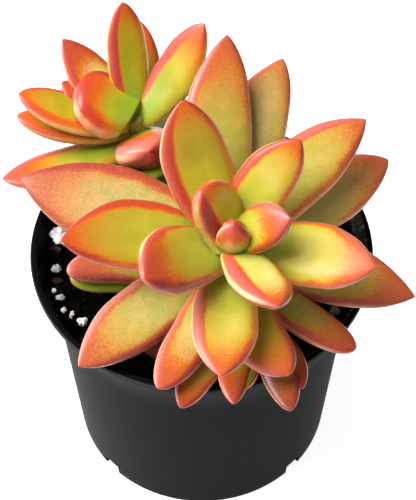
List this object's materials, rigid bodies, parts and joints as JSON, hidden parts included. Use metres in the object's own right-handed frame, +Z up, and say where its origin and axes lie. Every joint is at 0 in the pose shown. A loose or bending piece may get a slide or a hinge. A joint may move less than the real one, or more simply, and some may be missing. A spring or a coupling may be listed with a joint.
{
  "type": "potted firestorm sedum",
  "caption": "Firestorm sedum in a round flared nursery pot: pointed fleshy rosettes with red-orange tips on short stems in dark potting mix.",
  "frame": {"origin": "middle of the pot's flat underside", "axes": "+Z up out of the pot, +X to the right and -Y towards the side the large rosette leans to"},
  "size_m": [0.0893, 0.0858, 0.1095],
  "materials": {
    "pot_plastic": "matte black moulded plastic, faintly satin where light grazes the collar and the lip",
    "potting_mix": "damp near-black peat and fine bark with pale specks",
    "leaf": "waxy satin skin, yellow-green at the heart of each leaf, orange and red towards margins and tips",
    "perlite": "chalky white expanded grain, greyed where it is damp"
  },
  "bodies": {
    "root": {"pot": "pot_plastic", "soil": "potting_mix", "main_shoot": "leaf", "rear_left_shoot": "leaf", "front_shoot": "leaf", "low_left_shoot": "leaf", "perlite_01": "perlite", "perlite_02": "perlite", "perlite_03": "perlite", "perlite_04": "perlite", "perlite_05": "perlite", "perlite_06": "perlite", "perlite_07": "perlite", "perlite_08": "perlite", "perlite_09": "perlite", "perlite_10": "perlite", "perlite_11": "perlite", "perlite_12": "perlite"}
  },
  "joints": []
}
